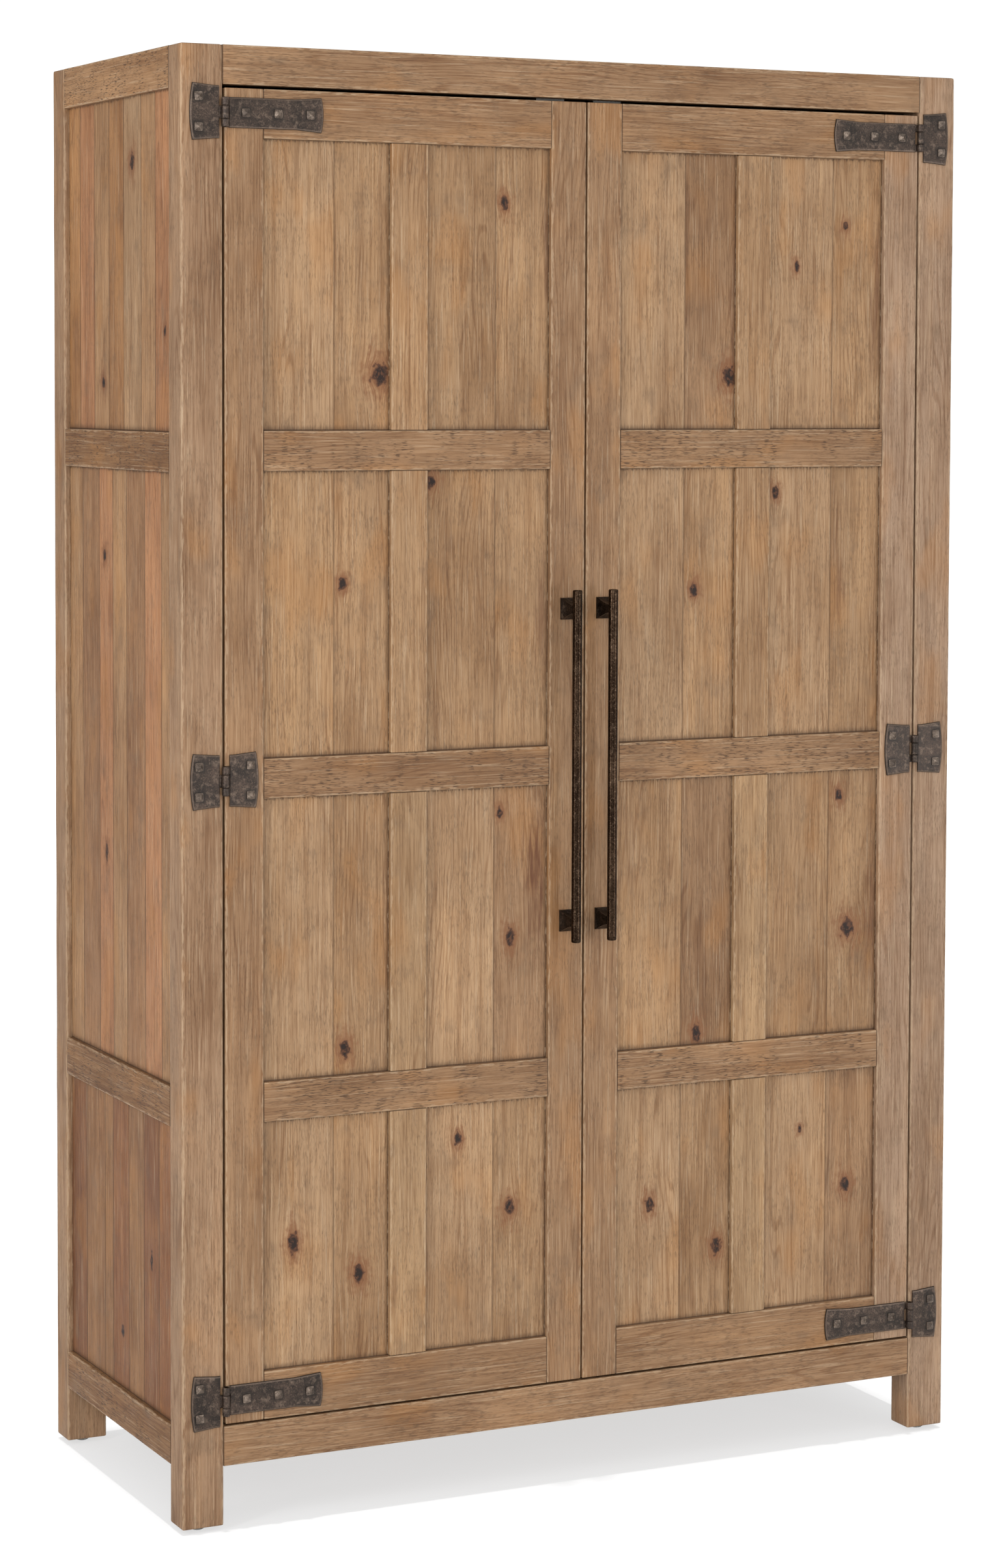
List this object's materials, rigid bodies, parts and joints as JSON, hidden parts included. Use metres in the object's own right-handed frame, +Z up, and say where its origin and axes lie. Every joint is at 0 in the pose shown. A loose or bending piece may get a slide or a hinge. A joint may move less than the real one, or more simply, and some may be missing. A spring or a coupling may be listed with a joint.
{
  "type": "armoire",
  "caption": "Tall two-door armoire of frame-and-panel wood on square corner posts, with forged strap hinges and long round bar pulls.",
  "frame": {"origin": "on the floor under the middle of the armoire's whole box, pulls included", "axes": "+X to the right as you face the doors, +Y towards the back, +Z up"},
  "size_m": [1.22, 0.559, 2.024],
  "materials": {
    "carcass_wood": "matt limed and waxed",
    "catch_steel": "zinc plated",
    "door_wood": "matt limed and waxed",
    "glide_steel": "dark brown",
    "hinge_iron": "hammered, waxed black",
    "inside_wood": "matt oiled",
    "nail_iron": "forged, worn edges",
    "pull_bronze": "textured dark bronze",
    "rod_wood": "satin"
  },
  "bodies": {
    "carcass": {"adjustable_shelf": "inside_wood", "back_bottom_rail": "carcass_wood", "back_centre_stile": "carcass_wood", "back_panels": "carcass_wood", "back_post_left": "carcass_wood", "back_post_right": "carcass_wood", "back_top_rail": "carcass_wood", "clothes_rod": "rod_wood", "door_catches": "catch_steel", "floor_panel": "inside_wood", "front_bottom_rail": "carcass_wood", "front_post_left": "carcass_wood", "front_post_right": "carcass_wood", "front_top_rail": "carcass_wood", "glides": "glide_steel", "hinge_pins_left": "hinge_iron", "hinge_pins_right": "hinge_iron", "hinge_post_leaves_left": "hinge_iron", "hinge_post_leaves_right": "hinge_iron", "post_nails": "nail_iron", "rod_sockets": "catch_steel", "shelf_cleats": "inside_wood", "shelf_pins": "catch_steel", "side_bottom_rail_left": "carcass_wood", "side_bottom_rail_right": "carcass_wood", "side_mid_rails_left": "carcass_wood", "side_mid_rails_right": "carcass_wood", "side_panels_left": "carcass_wood", "side_panels_right": "carcass_wood", "side_top_rail_left": "carcass_wood", "side_top_rail_right": "carcass_wood", "top_panel": "carcass_wood", "upper_shelf": "inside_wood"},
    "left_door": {"left_door_bottom_rail": "door_wood", "left_door_hinge_stile": "door_wood", "left_door_lock_stile": "door_wood", "left_door_mid_rails": "door_wood", "left_door_middle_leaf": "hinge_iron", "left_door_muntins": "door_wood", "left_door_nails": "nail_iron", "left_door_panels": "door_wood", "left_door_strap_leaves": "hinge_iron", "left_door_top_rail": "door_wood", "left_pull_bar": "pull_bronze", "left_pull_posts": "pull_bronze", "left_strike_plate": "catch_steel"},
    "right_door": {"right_door_bottom_rail": "door_wood", "right_door_hinge_stile": "door_wood", "right_door_lock_stile": "door_wood", "right_door_mid_rails": "door_wood", "right_door_middle_leaf": "hinge_iron", "right_door_muntins": "door_wood", "right_door_nails": "nail_iron", "right_door_panels": "door_wood", "right_door_strap_leaves": "hinge_iron", "right_door_top_rail": "door_wood", "right_pull_bar": "pull_bronze", "right_pull_posts": "pull_bronze", "right_strike_plate": "catch_steel"}
  },
  "joints": [
    {"name": "left_door_hinge", "type": "hinge", "parent": "carcass", "child": "left_door", "pos_m": [-0.5484, -0.2465, 1.0319], "axis": [0, 0, -1], "range_deg": [0, 165]},
    {"name": "right_door_hinge", "type": "hinge", "parent": "carcass", "child": "right_door", "pos_m": [0.5484, -0.2465, 1.0319], "axis": [0, 0, 1], "range_deg": [0, 165]}
  ]
}
